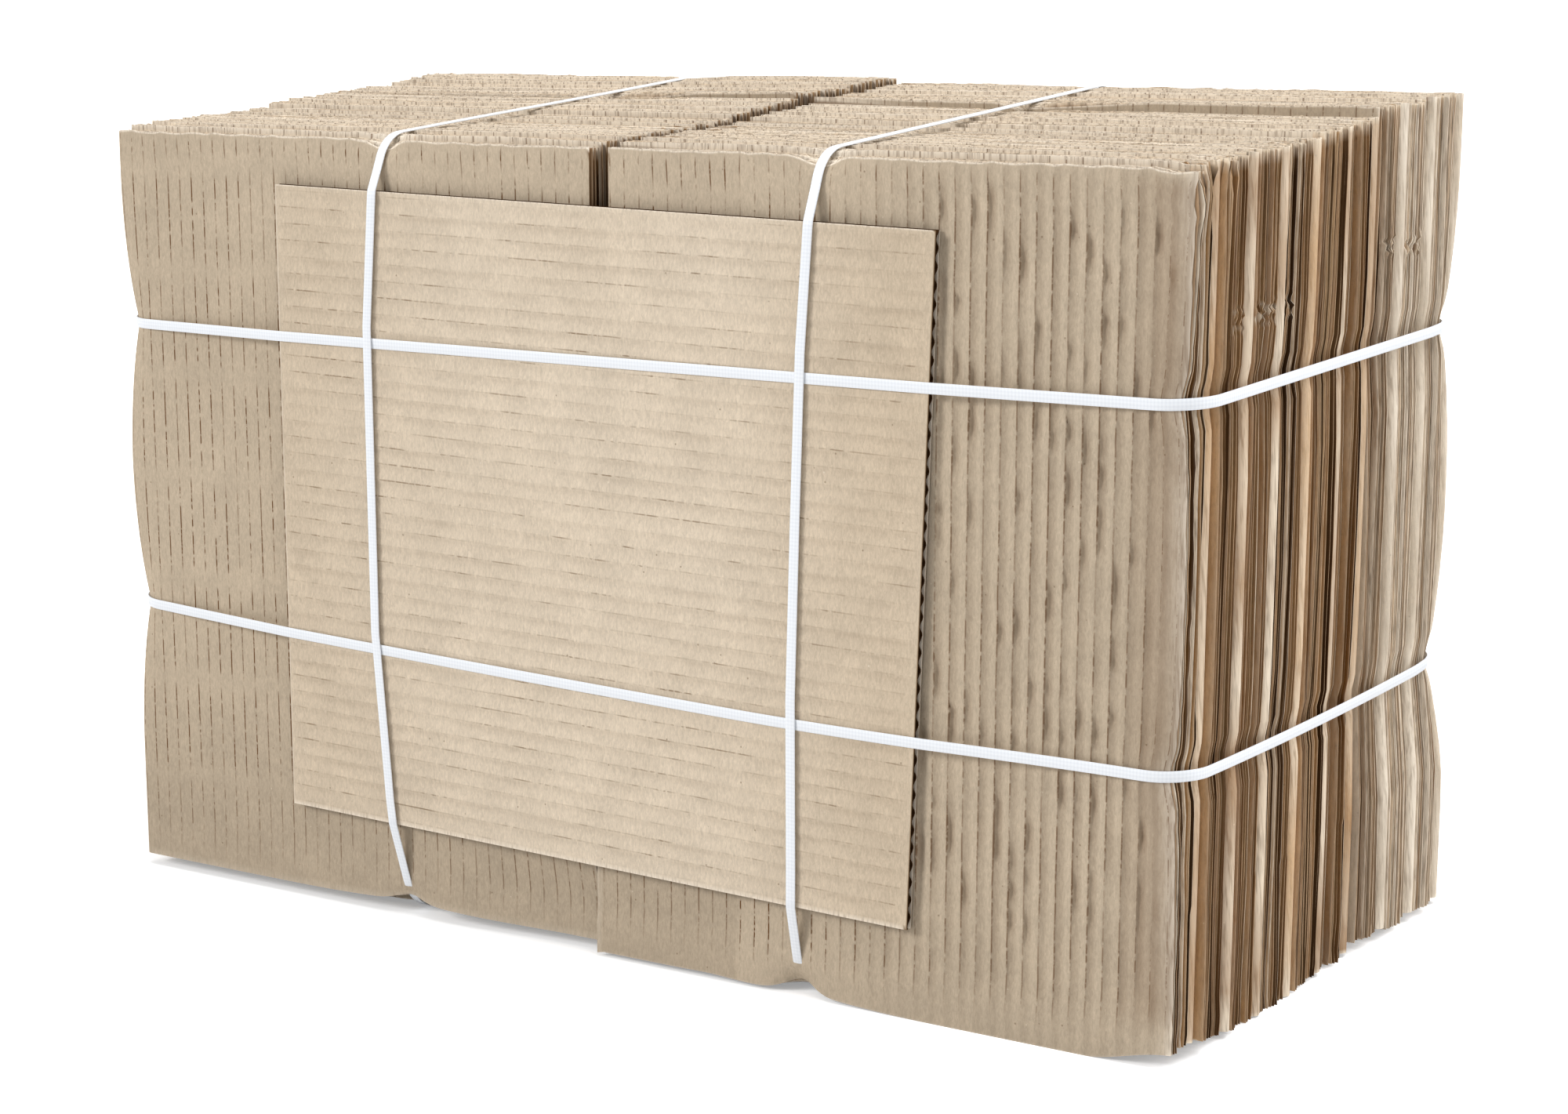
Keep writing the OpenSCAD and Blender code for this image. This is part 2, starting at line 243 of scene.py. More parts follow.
def squeezed(p):
    """The level straps press the corners of the bale round and bite into its cut end."""
    x, y, z = p.T
    held, bite = np.zeros(len(p)), np.zeros(len(p))
    for level, slope in zip(LEVEL_Z, LEVEL_SLOPE):
        beside = np.maximum(0, np.abs(z - strap_z(level, slope, x, y)) - STRAP_W / 2)
        held = np.maximum(held, np.maximum(0, 1 - beside / PRESS_SPAN) ** 2)
        bite = np.maximum(bite, np.exp(-(beside / 7) ** 2))
    # The front right corner is pressed all the way up
    rest = PRESS_REST + 0.25 * fade(x / 200) * fade(-y / 80)
    w = rest + (1 - rest) * held
    a = np.clip((np.abs(x - skew_x(y)) - REACH_X + CORNER_R) / CORNER_R, 0, 1.1)
    b = np.clip((np.abs(y) - REACH_Y + CORNER_R) / CORNER_R, 0, 1.1)
    return np.stack([
        x - np.sign(x) * CORNER_R * a * (1 - np.sqrt(1 - w * b * b / 2)) - BITE * bite * end_share(x),
        y - np.sign(y) * CORNER_R * b * (1 - np.sqrt(1 - w * a * a / 2)),
        z], 1)


def pinched(p):
    """The upright straps press their own radius into the upper and lower edges, and some corners
    and flaps of the bale are knocked out of place."""
    x, y, z = p.T.copy()
    base = floor_z(y)
    # The rear boxes stand out to the right at the foot
    x = x + 4.5 * fade((y - 10) / 100) * fade((120 - z + base) / 60) * fade((x - 150) / 150)
    top = base + BOX_H + (x + END_X) * np.sin(tilt_at(y))
    fore = np.clip(1 - (y + REACH_Y) / 45, 0, 1)
    low = np.clip(1 - (z - base) / 60, 0, 1)
    # The left lower flaps are pushed in beside the slit
    y = y + 5 * fore * fade(low * 1.4) * fade((x + 110) / 90) * (x < BOTTOM_SLOT_X - 2)
    # The lower right corner at the front is bent up, the left half stands higher towards the back,
    # and the front edge is lifted between the slit and the right strap
    z = z + 7 * low ** 2 * fade((x - 262) / 42) * fade((-60 - y) / 65)
    z = z + (2.2 * fade((z - base - 290) / 70) * fade((y + 70) / 120) * fade((x + 210) / 190)
             * (x < TOP_SLOT_X))
    z = z + 2.4 * low ** 2 * fore * fade((x - BOTTOM_SLOT_X + 3) / 4) * fade((95 - x) / 40)
    for i, strap_x in enumerate(UPRIGHT_X):
        off = x - strap_x - wander(i, y, z)
        near = np.exp(-(off / 11) ** 2)
        z = z + 2.2 * low ** 2 * fore * np.exp(-(off / 38) ** 2)
        for edge, sign, r in ((top, 1, EDGE_R), (base, -1, FOOT_R)):
            b = np.clip((np.abs(y) - REACH_Y + r) / r, 0, 1.15)
            c = np.clip((sign * (z - edge) + r) / r, 0, 1.15)
            y = y - np.sign(y) * r * b * (1 - np.sqrt(1 - near * c * c / 2))
            z = z - sign * r * c * (1 - np.sqrt(1 - near * b * b / 2))
        groove = 1.4 * np.exp(-(off / 3.4) ** 4)
        z = np.maximum(z, np.where(z < base + 4, base + groove, z))
        z = np.where(z > top - 3, z - 0.5 * groove, z)
        z = z - 3.8 * near * np.exp(-((y - TILT_START) / 9) ** 2) * fade((z - top + 14) / 12)
    return np.stack([x, y, z], 1)


def standing(p):
    """The bale as it stands on the floor, leaning back, in metres."""
    x, y, z = p.T
    c, s = math.cos(LEAN), math.sin(LEAN)
    x = x * (FOOT_SPREAD + (HEAD_SPREAD - FOOT_SPREAD) * z / BOX_H)
    return np.stack([x, y * c + z * s + CENTRE_Y, np.maximum(z * c - y * s, 0)], 1) * MM


# Materials
def linear(code):
    """An sRGB hex colour as the linear values that shaders take."""
    parts = [int(code[i:i + 2], 16) / 255 for i in (1, 3, 5)]
    return [c / 12.92 if c <= 0.04045 else ((c + 0.055) / 1.055) ** 2.4 for c in parts] + [1.0]


def add(tree, kind, settings=None, inputs=None):
    """Add a node with its settings, its values and its links, which come from a socket or from the
    first output in use of a node."""
    made = tree.nodes.new(kind)
    for name, value in (settings or {}).items():
        setattr(made, name, value)
    for key, value in (inputs or {}).items():
        if isinstance(value, bpy.types.Node):
            value = next(socket for socket in value.outputs if socket.enabled)
        if isinstance(value, bpy.types.NodeSocket):
            tree.links.new(value, made.inputs[key])
        else:
            made.inputs[key].default_value = value
    return made


def new_material(name):
    made = bpy.data.materials.new(name)
    made.use_nodes = True
    made.node_tree.nodes.clear()
    return made


def per_mm(size):
    """Texture scale whose features are this many millimetres across."""
    return 1 / (size * MM)


# What the paper materials read from each point: how pale it is, how frayed, how much shade is
# painted on it, how strongly it is scored beside the flutes, and its place across the flutes in millimetres
FACTS = ("tone", "edge", "painted_shade", "dash", "across")
# Settings of nodes that mix colours and multiply
RGBA, TIMES = {"data_type": "RGBA"}, {"operation": "MULTIPLY"}


def paper(name, base, pale, deep, fibre, speck, worn_edge, painted_shade, rough):
    """Paper of recycled fibre. The eye gets a soft mottle, short fibres lying mostly across, a few
    dark and light specks, paler fuzz at cut edges, and painted shade in creases and hollows."""
    made = new_material(name)
    tree = made.node_tree
    place = add(tree, "ShaderNodeTexCoord").outputs["Object"]
    tone, edge, shade_and_score, dash, across = [
        add(tree, "ShaderNodeAttribute", {"attribute_name": label}).outputs["Fac"] for label in FACTS]
    colour = add(tree, "ShaderNodeMix", RGBA, {"Factor": tone, "A": linear(deep), "B": linear(pale)})
    colour = add(tree, "ShaderNodeMix", RGBA, {"Factor": 0.5, "A": linear(base), "B": colour})
    # Clouds of thicker and thinner stock, about 22 mm across
    cloud = add(tree, "ShaderNodeTexNoise", {}, {
        "Vector": place, "Scale": per_mm(22), "Detail": 4.0, "Roughness": 0.6})
    cloud = add(tree, "ShaderNodeMapRange", {}, {
        "Value": cloud, "From Min": 0.3, "From Max": 0.7, "To Min": 0.93, "To Max": 1.05})
    # Fibres about 3 mm long and 0.6 mm thick, drawn as coarse as the picture can show
    lying = add(tree, "ShaderNodeMapping", {}, {
        "Vector": place, "Scale": (1.0, 1.0, 0.35), "Rotation": (0.0, 0.25, 0.0)})
    strand = add(tree, "ShaderNodeTexNoise", {}, {
        "Vector": lying, "Scale": per_mm(1.1), "Detail": 3.0, "Roughness": 0.7, "Distortion": 0.6})
    strands = add(tree, "ShaderNodeMapRange", {}, {
        "Value": strand, "From Min": 0.3, "From Max": 0.7, "To Min": 0.84, "To Max": 1.11})
    shade = add(tree, "ShaderNodeMath", TIMES, {0: cloud, 1: strands})
    shade = add(tree, "ShaderNodeCombineXYZ", {}, {0: shade, 1: shade, 2: shade})
    colour = add(tree, "ShaderNodeMix", {"data_type": "RGBA", "blend_type": "MULTIPLY"}, {
        "Factor": 1.0, "A": colour, "B": shade})
    # Specks of ink and bark, about 0.8 mm across, one in some 11 mm, and paler shives between them
    for tint, gap, limit in ((speck, 11.0, 0.055), (fibre, 13.0, 0.04)):
        cell = add(tree, "ShaderNodeTexVoronoi", {}, {
            "Vector": place, "Scale": per_mm(gap), "Randomness": 1.0})
        spot = add(tree, "ShaderNodeMapRange", {}, {
            "Value": cell, "From Min": limit * 0.5, "From Max": limit, "To Min": 0.6, "To Max": 0.0})
        colour = add(tree, "ShaderNodeMix", RGBA, {"Factor": spot, "A": colour, "B": linear(tint)})
    # Cut edges are frayed in tufts about 1.4 mm across and much longer upwards, pale or in shadow
    drawn = add(tree, "ShaderNodeMapping", {}, {"Vector": place, "Scale": (1.0, 1.0, 0.06)})
    tuft = add(tree, "ShaderNodeTexNoise", {}, {
        "Vector": drawn, "Scale": per_mm(1.4), "Detail": 2.0, "Roughness": 0.7})
    tuft = add(tree, "ShaderNodeMapRange", {}, {
        "Value": tuft, "From Min": 0.32, "From Max": 0.54, "To Min": 0.52, "To Max": 1.0})
    frayed = add(tree, "ShaderNodeMix", RGBA, {"Factor": tuft, "A": linear(painted_shade), "B": linear(worn_edge)})
    fuzz = add(tree, "ShaderNodeMath", TIMES, {0: edge, 1: 0.9})
    colour = add(tree, "ShaderNodeMix", RGBA, {"Factor": fuzz, "A": colour, "B": frayed})
    # Beside each flute the facing is scored by a fine line 0.7 mm wide, broken every few millimetres
    off = add(tree, "ShaderNodeMath", {"operation": "WRAP"}, {0: across, 1: FLUTE / 2, 2: -FLUTE / 2})
    off = add(tree, "ShaderNodeMath", {"operation": "ABSOLUTE"}, {0: off})
    score = add(tree, "ShaderNodeMapRange", {}, {
        "Value": off, "From Min": 0.2, "From Max": 0.5, "To Min": 1.0, "To Max": 0.0})
    broken = add(tree, "ShaderNodeTexNoise", {}, {
        "Vector": place, "Scale": per_mm(3.5), "Detail": 2.0, "Roughness": 0.6})
    broken = add(tree, "ShaderNodeMapRange", {}, {"Value": broken, "From Min": 0.36, "From Max": 0.52})
    for part in (broken, dash):
        score = add(tree, "ShaderNodeMath", TIMES, {0: score, 1: part})
    # Painted shade, read from each point, and the score lines darken the paper towards its painted shade
    # colour
    shade_and_score = add(tree, "ShaderNodeMath", {"operation": "MAXIMUM"}, {0: shade_and_score, 1: score})
    colour = add(tree, "ShaderNodeMix", RGBA, {"Factor": shade_and_score, "A": colour, "B": linear(painted_shade)})
    bump = add(tree, "ShaderNodeBump", {}, {"Height": strand, "Strength": 0.5, "Distance": 0.15 * MM})
    skin = add(tree, "ShaderNodeBsdfPrincipled", {}, {
        "Base Color": colour, "Roughness": rough, "Specular IOR Level": 0.05, "Normal": bump})
    add(tree, "ShaderNodeOutputMaterial", {}, {"Surface": skin})
    return made


# In each paper the colour before the roughness is that of painted shade, score lines and tufts in shadow
# Test liner: waste-paper facing made on a paper machine, matt and greyish tan
TEST_LINER = paper("recycled_test_liner_machine_made", "#BFAD95", "#CFBFA9", "#A39583", "#D3C4AF",
                   "#6E5A45", "#F6EAD8", "#62401F", 0.88)
# Fluting: browner waste-based paper, heated and pressed into waves
FLUTING = paper("waste_based_fluting_corrugated", "#A0703A", "#D6B081", "#6A4016", "#C9AE8A",
                "#5E4630", "#F4E6D0", "#2C1604", 0.9)
# White-grade test liner: the loose sheet is a paler stock of the same kind
PALE_LINER = paper("pale_test_liner_machine_made", "#D6C6B1", "#E0D2BE", "#B9A68C", "#E6DBCB",
                   "#7A6650", "#EADDCB", "#7A6349", 0.88)


def strapping():
    """Polypropylene strapping, extruded, stretched and embossed: milky white, satin, with small
    raised diamonds that catch the light."""
    made = new_material("polypropylene_strapping_embossed")
    tree = made.node_tree
    along, across = [add(tree, "ShaderNodeAttribute", {"attribute_name": label}).outputs["Fac"]
                     for label in ("along", "across")]
    waves = []
    # Diamonds 1.7 mm apart
    for sign in ("ADD", "SUBTRACT"):
        run = add(tree, "ShaderNodeMath", {"operation": sign}, {0: along, 1: across})
        run = add(tree, "ShaderNodeMath", TIMES, {0: run, 1: 2 * math.pi / 3.4})
        waves.append(add(tree, "ShaderNodeMath", {"operation": "SINE"}, {0: run}))
    diamond = add(tree, "ShaderNodeMath", TIMES, {0: waves[0], 1: waves[1]})
    # The raised diamonds are painted paler and the dips between them darker: painted light and shade over
    # the bump
    colour = add(tree, "ShaderNodeMapRange", {}, {"Value": diamond, "From Min": -1.0, "From Max": 1.0})
    colour = add(tree, "ShaderNodeMix", RGBA, {
        "Factor": colour, "A": linear("#E1E5EB"), "B": linear("#EEF1F5")})
    bump = add(tree, "ShaderNodeBump", {}, {"Height": diamond, "Strength": 0.3, "Distance": 0.1 * MM})
    skin = add(tree, "ShaderNodeBsdfPrincipled", {}, {
        "Base Color": colour, "Roughness": 0.38, "IOR": 1.49, "Normal": bump})
    add(tree, "ShaderNodeOutputMaterial", {}, {"Surface": skin})
    return made


STRAPPING = strapping()


# Geometry node trees
def new_tree(name, **inputs):
    """A tree with inputs that are named by their kind."""
    tree = bpy.data.node_groups.new(name, "GeometryNodeTree")
    for kind, labels in inputs.items():
        for label in labels.split():
            tree.interface.new_socket(label, in_out="INPUT", socket_type="NodeSocket" + kind)
    tree.interface.new_socket("Geometry", in_out="OUTPUT", socket_type="NodeSocketGeometry")
    return tree, add(tree, "NodeGroupInput").outputs


def closing(tree, geometry, material):
    """End a tree: real geometry with its material."""
    real = add(tree, "GeometryNodeRealizeInstances", {}, {0: geometry})
    painted = add(tree, "GeometryNodeSetMaterial", {}, {"Geometry": real, "Material": material})
    add(tree, "NodeGroupOutput", {}, {0: painted})
    return tree


def fluted_paper():
    """A strip of paper in waves: Length runs across the flutes, Height along them."""
    tree, size = new_tree("fluted_paper", Float="Length Height Pitch Wave Paper Phase",
                          Int="Columns Rows", Material="Material")
    flat = add(tree, "GeometryNodeMeshGrid", {}, {
        "Size X": size["Length"], "Size Y": size["Height"],
        "Vertices X": size["Columns"], "Vertices Y": size["Rows"]})
    place = add(tree, "ShaderNodeSeparateXYZ", {}, {0: add(tree, "GeometryNodeInputPosition")}).outputs
    wave = place["X"]
    for kind, by in (("DIVIDE", size["Pitch"]), ("ADD", size["Phase"]), ("MULTIPLY", 2 * math.pi),
                     ("SINE", 0.0), ("MULTIPLY", size["Wave"])):
        wave = add(tree, "ShaderNodeMath", {"operation": kind}, {0: wave, 1: by})
    point = add(tree, "ShaderNodeCombineXYZ", {}, {0: place["X"], 1: wave, 2: place["Y"]})
    bent = add(tree, "GeometryNodeSetPosition", {}, {"Geometry": flat, "Position": point})
    front = add(tree, "GeometryNodeExtrudeMesh", {"mode": "FACES"}, {
        "Mesh": bent, "Offset Scale": size["Paper"], "Individual": False})
    back = add(tree, "GeometryNodeFlipFaces", {}, {"Mesh": bent})
    both = add(tree, "GeometryNodeJoinGeometry", {}, {0: front})
    tree.links.new(back.outputs[0], both.inputs[0])
    shell = add(tree, "GeometryNodeMergeByDistance", {}, {"Geometry": both, "Distance": 0.001})
    return closing(tree, shell, size["Material"])


def band_on_path():
    """A flat band swept along a path, with its length and width kept for the embossing."""
    tree, size = new_tree("band_on_path", Geometry="Path", Float="Width Thickness Step",
                          Material="Material")
    path = add(tree, "GeometryNodeResampleCurve", {"mode": "LENGTH"}, {
        "Curve": size["Path"], "Length": size["Step"]})
    path = add(tree, "GeometryNodeSetCurveNormal", {"mode": "Z_UP"}, {0: path})
    run = add(tree, "GeometryNodeSplineParameter").outputs["Length"]
    path = add(tree, "GeometryNodeStoreNamedAttribute", {}, {
        "Geometry": path, "Name": "along", "Value": run})
    section = add(tree, "GeometryNodeCurvePrimitiveQuadrilateral", {}, {
        "Width": size["Thickness"], "Height": size["Width"]})
    section = add(tree, "GeometryNodeFilletCurve", {"mode": "POLY"}, {
        "Curve": section, "Count": 2, "Radius": 0.18})
    side = add(tree, "ShaderNodeSeparateXYZ", {}, {0: add(tree, "GeometryNodeInputPosition")}).outputs["Y"]
    section = add(tree, "GeometryNodeStoreNamedAttribute", {}, {
        "Geometry": section, "Name": "across", "Value": side})
    band = add(tree, "GeometryNodeCurveToMesh", {}, {
        "Curve": path, "Profile Curve": section, "Fill Caps": True})
    return closing(tree, band, size["Material"])


FLUTED_PAPER = fluted_paper()
BAND_ON_PATH = band_on_path()


def grown(tree, data, sizes):
    """What a tree makes from some data: a plain mesh and its points."""
    seed = bpy.data.objects.new("seed", data)
    scene.collection.objects.link(seed)
    growth = seed.modifiers.new("growth", "NODES")
    growth.node_group = tree
    for socket in tree.interface.items_tree:
        if socket.in_out == "INPUT" and socket.name in sizes:
            growth[socket.identifier] = sizes[socket.name]
    bpy.context.view_layer.update()
    ready = seed.evaluated_get(bpy.context.evaluated_depsgraph_get())
    mesh = bpy.data.meshes.new_from_object(ready)
    bpy.data.objects.remove(seed)
    points = np.empty(len(mesh.vertices) * 3, np.float32)
    mesh.vertices.foreach_get("co", points)
    return mesh, points.reshape(-1, 3).astype(float)


def finished(mesh, name, node):
    """Make a mesh a piece of the object: it stands for a node and rides with the bale."""
    mesh.polygons.foreach_set("use_smooth", np.ones(len(mesh.polygons), bool))
    mesh.set_sharp_from_angle(angle=math.radians(38))
    piece = bpy.data.objects.new(name, mesh)
    scene.collection.objects.link(piece)
    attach(piece, "root")
    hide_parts(node)
    return piece


class Sheaf:
    """The papers of one piece: points in the piece's own frame, quads and what the materials read."""

    def __init__(self):
        self.points, self.quads, self.paint, self.facts, self.count = [], [], [], [], 0

    def add(self, points, quads, paint, facts):
        paint = np.broadcast_to(paint, len(quads))
        used, quads = np.unique(quads, return_inverse=True)
        self.points.append(points[used])
        self.quads.append(quads.reshape(-1, 4) + self.count)
        self.paint.append(paint)
        self.facts.append(np.stack([np.broadcast_to(v, len(points))[used] for v in facts], 1))
        self.count += len(used)

    def add_sheet(self, outer, inner, cells, tone, painted_shade, hollow, hollow_shade, shaded_rim=0.0, fuzz=0.0,
                  dash=0.0, across=0.0, head=0.0, brown=False, rim_share=1.0):
        """Two facing grids of points as a closed sheet, open where cells are left out. Its inner side
        is seen only in the hollows of the board and has their tone and painted shade. Rims are frayed,
        or carry painted shade inside slots, by their rim share. Fuzz adds to them on the outside, head,
        a pale top edge that is partly painted light, on both sides.
        Brown says where the outside is as brown as the hollows, as the upright rims then are too."""
        m, n = outer.shape[:2]
        at = np.arange(m * n).reshape(m, n)
        a, b, c, d = at[:-1, :-1], at[:-1, 1:], at[1:, 1:], at[1:, :-1]
        faces = np.stack([a, b, c, d], -1)[cells]
        quads = [faces, faces[:, ::-1] + m * n]
        ring = np.zeros((m + 1, n + 1), bool)
        ring[1:-1, 1:-1] = cells
        edge = np.zeros((m, n))
        for p, q, beyond in ((a, b, ring[:-2, 1:-1]), (b, c, ring[1:-1, 2:]),
                             (c, d, ring[2:, 1:-1]), (d, a, ring[1:-1, :-2])):
            rim = cells & ~beyond
            p, q = p[rim], q[rim]
            quads.append(np.stack([q, p, p + m * n, q + m * n], -1))
            edge.flat[p] = 1
            edge.flat[q] = 1
        edge = edge * rim_share
        painted_shade = np.maximum(painted_shade, 0.75 * edge * shaded_rim)
        edge = edge * (1 - shaded_rim)
        paint = [np.broadcast_to(brown, cells.shape)[cells], np.ones(len(faces))]
        paint += [np.full(len(rim), np.any(brown) and i % 2 == 0) for i, rim in enumerate(quads[2:])]
        fuzz = np.maximum(fuzz, head)
        pairs = ((tone, hollow), (np.maximum(edge, fuzz), np.maximum(0.35 * edge, head)),
                 (painted_shade, hollow_shade), (dash, 0.0), (across, 0.0))
        facts = [np.concatenate([np.broadcast_to(v, (m, n)).ravel() for v in pair]) for pair in pairs]
        self.add(np.concatenate([outer.reshape(-1, 3), inner.reshape(-1, 3)]), np.concatenate(quads),
                 np.concatenate(paint), facts)

    def add_flutes(self, span, rise, middle, wave, phase, steps, heights, tone, cut, dark, fray,
                   start=0.4, reach=0.1, lay=lambda p: p):
        """A strip of fluted paper over span, across the flutes, and rise, along them, with a row at
        each of some heights. Cut says which of its four edges, start, end, foot and head, show;
        there it is frayed, and from there painted shade deepens inwards."""
        hidden = 99.0
        length, height = span[1] - span[0], rise[1] - rise[0]
        rows = np.array([rise[0]] + [h for h in heights if rise[0] + 0.3 < h < rise[1] - 0.3] + [rise[1]])
        mesh, p = grown(FLUTED_PAPER, bpy.data.meshes.new("seed"), {
            "Length": length, "Height": height, "Pitch": FLUTE, "Wave": wave, "Paper": MEDIUM,
            "Phase": (span[0] + length / 2) / FLUTE + phase,
            "Columns": max(3, round(length / FLUTE * steps) + 1), "Rows": len(rows), "Material": FLUTING})
        quads = np.empty(len(mesh.loops), np.int32)
        mesh.loops.foreach_get("vertex_index", quads)
        bpy.data.meshes.remove(mesh)
        run = p[:, 0] + length / 2
        up = np.interp(p[:, 2] + height / 2, np.linspace(0, height, len(rows)), rows - rise[0])
        gaps = zip(cut, (run, length - run, up, height - up))
        inward = np.min([np.where(shown, gap, hidden) for shown, gap in gaps], 0)
        flat = np.stack([span[0] + run, middle + p[:, 1] + MEDIUM / 2, rise[0] + up], 1)
        frayed, hollow_shade = fray * fade(1 - (inward - 0.2) / reach), dark * fade((inward + start) / 2.4)
        self.add(lay(flat), quads.reshape(-1, 4), 1, (tone, frayed, hollow_shade, 0.0, 0.0))

    def piece(self, name, slot, place, materials):
        points = place(np.concatenate(self.points))
        quads = np.concatenate(self.quads).astype(np.int32)
        mesh = bpy.data.meshes.new(name)
        mesh.vertices.add(len(points))
        mesh.vertices.foreach_set("co", points.astype(np.float32).ravel())
        mesh.loops.add(quads.size)
        mesh.loops.foreach_set("vertex_index", quads.ravel())
        mesh.polygons.add(len(quads))
        mesh.polygons.foreach_set("loop_start", np.arange(0, quads.size, 4, dtype=np.int32))
        for material in materials:
            mesh.materials.append(material)
        mesh.polygons.foreach_set("material_index", np.concatenate(self.paint).astype(np.int32))
        facts = np.concatenate(self.facts).astype(np.float32)
        for i, label in enumerate(FACTS):
            mesh.attributes.new(label, "FLOAT", "POINT").data.foreach_set("value", facts[:, i].copy())
        mesh.update(calc_edges=True)
        return finished(mesh, name + "_paper", name)


# Boxes
def spread(marks, low, high, least=0.3):
    """Sorted places between two ends, none closer than a least gap."""
    kept = [low]
    for mark in sorted(marks):
        if kept[-1] + least < mark < high - least:
            kept.append(mark)
    return np.array(kept + [high])


def is_soft(k):
    return k < SOFT_COUNT or k >= BOX_COUNT - SOFT_COUNT


# Boxes whose facing is seen: steps to each flute at the left and at the right, and gap of the rows
FACED_STEPS = {0: ((0, 0.14, 0.5), (0, 0.06, 0.14, 0.3, 0.62)), BOX_COUNT - 1: ((0, 0.14, 0.5),) * 2}
FACED_ROWS = {0: 4.5, BOX_COUNT - 1: 14.0}


def stations(k, steps):
    """Places across a layer, from its fold to its cut end: close where it bends or is cut, and
    with some steps to each flute where its facing is seen, more of them at the right."""
    turn = way(k)
    ends = (1.2, 3, 6, 9, 12, 15, 18, 21, 26, 34) if is_soft(k) else (1.2, 3, 6, 12, 30)
    marks = [END_X - d for d in ends] + [FOLD_X + d for d in ends]
    slots = ((TOP_SLOT_X, TOP_SLOT_W), (BOTTOM_SLOT_X, BOTTOM_SLOT_W))
    cuts = [turn * x + s * wide / 2 for x, wide in slots for s in (-1, 1)]
    if steps:
        flutes = np.arange(math.ceil(FOLD_X / FLUTE), END_X / FLUTE)
        marks = [FLUTE * (f + u) for f in flutes for u in steps[f > 7]]
    else:
        marks += list(np.arange(-260, 261, 65.0))
        beside = (-30, -14, -8, -4, 0, 4, 8, 14, 30) if is_soft(k) else (-4, 2, 6, 10, 16)
        marks += [turn * (x + d) for x in UPRIGHT_X for d in beside]
    marks = [m for m in marks if all(abs(m - c) > 0.5 for c in cuts)]
    return spread(marks + cuts, FOLD_X, END_X)


def short_flap(k):
    """How far the left lower flap ends above the floor: the boxes turned about show less of it."""
    return 1.5 if turned(k) else SHORT_FLAP


def levels(k):
    """Heights of the rows of a box, close at its edges, under the level straps and where it is torn."""
    step = FACED_ROWS.get(k, 22.0 if is_soft(k) else 45.0)
    marks = [1, 3, short_flap(k), 10, FLAP_LEN, BOX_H - FLAP_LEN] + [15, 25, 40] * is_soft(k)
    marks += [BOX_H - d for d in (1, 3, 7, 14)]
    foot = floor_z(box_y(k) - BOX_T / 2)
    beside = (-14, -7, -2.5, 0, 2.5, 7, 14) if is_soft(k) else (-10, -2.7, 2.7, 10)
    for level, slope in zip(LEVEL_Z, LEVEL_SLOPE):
        for x in (-END_X, END_X) if is_soft(k) else (END_X,):
            strap = float(strap_z(level, slope, x, box_y(k))) - foot
            marks += [strap + d for d in beside]
    if any(first <= k <= last for first, last, row in TORN_ROWS):
        marks += list(np.arange(304, 326, 1.7))
    fill = [m for m in np.arange(20, BOX_H - 18, step) if all(abs(m - f) > 2 for f in marks)]
    return spread(marks + fill, 0.0, BOX_H, 0.8)


# Dents in the front facing: flute, height, half length and depth of each
DENTS = np.random.default_rng(91).uniform((15, 50, 4, 0.6), (37.5, 366, 10, 1.7), (170, 4))


def washboard(k, x, z):
    """How far the front facing sinks beside each flute, how much shade is painted there, and how strongly it
    is scored. At the left short dashes are broken by smooth bands; at the right the board is pressed into
    ridges, with dents and slanting wrinkles, and shade is painted in their lee and towards the right end."""
    u, flute = x / FLUTE % 1.0, np.floor(x / FLUTE)
    pressed = fade((x - 100) / 110) if k == 0 else np.full(x.shape, 0.2)
    dip = np.interp(u, (0, 0.06, 0.14, 0.3, 0.62, 1), (0, 0.45, 0.85, 1, 0.55, 0))
    lens = np.interp(u, (0, 0.06, 0.14, 0.3, 0.62), (0, 0.8, 1, 0.8, 0))
    run = ripple(flute * 3.7, z / 24, 31 + k)
    off_band = (z - 27 + 4 * ripple(flute / 3, 0, 33)) % 52 - 26
    band = 1 - np.exp(-(off_band / 4.5) ** 4) * (1 - 0.8 * pressed)
    dent = np.zeros(x.shape)
    for at, middle, half, deep in DENTS:
        bowl = np.clip(1 - ((z - middle) / half) ** 2, 0, 1)
        dent = np.maximum(dent, deep * bowl * (flute == math.floor(at)))
    edge = fade((z - 14) / 14) * fade((BOX_H - z - 7) / 12)
    edge = edge * fade((END_X - x - 7) / 12) * fade((x - FOLD_X) / 40)
    edge = edge * np.where(z > BOX_H - 55, fade((np.abs(x - TOP_SLOT_X) - 12) / 10), 1)
    fold = np.maximum(0, 1 - np.abs(ripple(x / 34 + z / 60, z / 34 - x / 60, 47)) * 6) * pressed
    depth = (0.1 + 0.65 * pressed) * (1 + 0.35 * run) * band * dip + dent * lens * (k == 0)
    slack = 0.3 * (1 + ripple(x / 75, z / 75, 51 + k)) + 0.35 * (1 - fold)
    dash = np.clip(0.85 + 0.5 * run, 0.35, 1) * band * (1 - 0.3 * pressed)
    dash = dash * (1 - 0.5 * fade((70 - z) / 60) * (x < 80))
    # Painted shade in the lee of each pressed ridge and in the dents, and towards the right end where the
    # facing turns away from the light
    shade = pressed * lens * (0.1 + 0.08 * run + 0.13 * dent) + 0.3 * fade((x - 272) / 25) * (k == 0)
    ends = fade((z - 6) / 20) * fade((BOX_H - z - 1) / 4)
    return np.minimum(depth + slack, 2.5) * edge, np.clip(shade * ends, 0, 0.9), dash * ends


